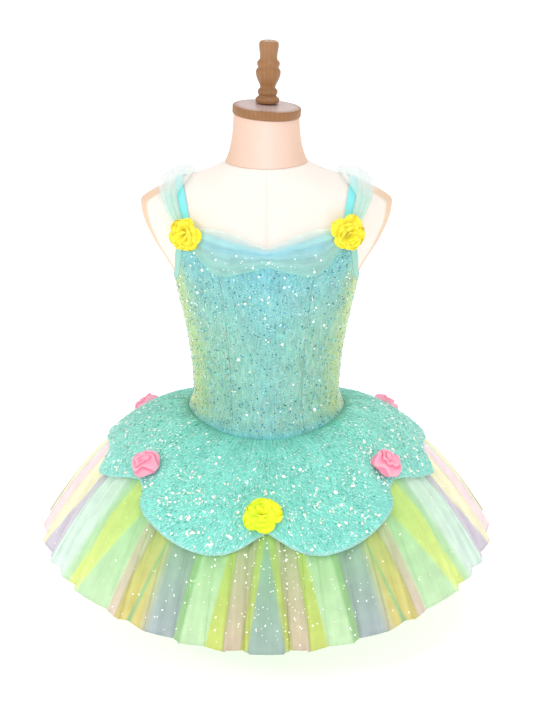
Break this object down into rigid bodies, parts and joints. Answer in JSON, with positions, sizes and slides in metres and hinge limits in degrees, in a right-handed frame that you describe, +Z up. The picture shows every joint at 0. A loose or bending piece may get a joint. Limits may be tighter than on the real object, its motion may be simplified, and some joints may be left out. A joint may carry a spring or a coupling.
{
  "type": "child's ballet tutu leotard on a limbless table-top dress form",
  "caption": "Sleeveless leotard with a sheer bust drape, a scalloped overskirt, pleated tulle layers and cloth flowers, standing on a limbless dress form with a round base.",
  "frame": {"origin": "centre of the stand's underside, level with the floor", "axes": "+Z up, -Y the garment's front, +X the wearer's left"},
  "size_m": [0.5858, 0.559, 0.7204],
  "materials": {
    "form_cloth": "smooth ivory stretch cloth over a firm form",
    "turned_wood": "satin varnished light brown wood",
    "stand_metal": "satin off-white paint",
    "sequin_cloth": "aqua crinkled stretch cloth with small sequins",
    "overskirt_cloth": "mint crinkled cloth with sequins",
    "stretch_cloth": "matt aqua stretch jersey",
    "sheer_tulle": "sheer pale mint tulle",
    "rainbow_tulle": "soft tulle in pastel strips with glitter",
    "yellow_petal": "matt bright yellow cloth petals",
    "pink_petal": "matt rose pink cloth petals"
  },
  "bodies": {
    "root": {"form_torso": "form_cloth", "form_neck": "form_cloth", "neck_cap": "turned_wood", "finial": "turned_wood", "stand_base": "stand_metal", "stand_pole": "stand_metal", "bodice_front_centre": "sequin_cloth", "bodice_front_left": "sequin_cloth", "bodice_front_right": "sequin_cloth", "bodice_back_left": "sequin_cloth", "bodice_back_right": "sequin_cloth", "neck_band_front": "stretch_cloth", "neck_band_back": "stretch_cloth", "armhole_band_left": "stretch_cloth", "armhole_band_right": "stretch_cloth", "brief_front": "stretch_cloth", "brief_back": "stretch_cloth", "gusset": "stretch_cloth", "strap_left": "stretch_cloth", "strap_right": "stretch_cloth", "sleeve_left": "sheer_tulle", "sleeve_right": "sheer_tulle", "bust_drape": "sheer_tulle", "tulle_skirt_top": "rainbow_tulle", "tulle_skirt_middle": "rainbow_tulle", "tulle_skirt_lower": "rainbow_tulle", "petal_front_left": "overskirt_cloth", "petal_side_left": "overskirt_cloth", "petal_back_left": "overskirt_cloth", "petal_back_right": "overskirt_cloth", "petal_side_right": "overskirt_cloth", "petal_front_right": "overskirt_cloth", "flower_shoulder_left": "yellow_petal", "flower_shoulder_right": "yellow_petal", "flower_skirt_front": "yellow_petal", "flower_skirt_front_left": "pink_petal", "flower_skirt_side_left": "pink_petal", "flower_skirt_back": "pink_petal", "flower_skirt_side_right": "pink_petal", "flower_skirt_front_right": "pink_petal"}
  },
  "joints": []
}
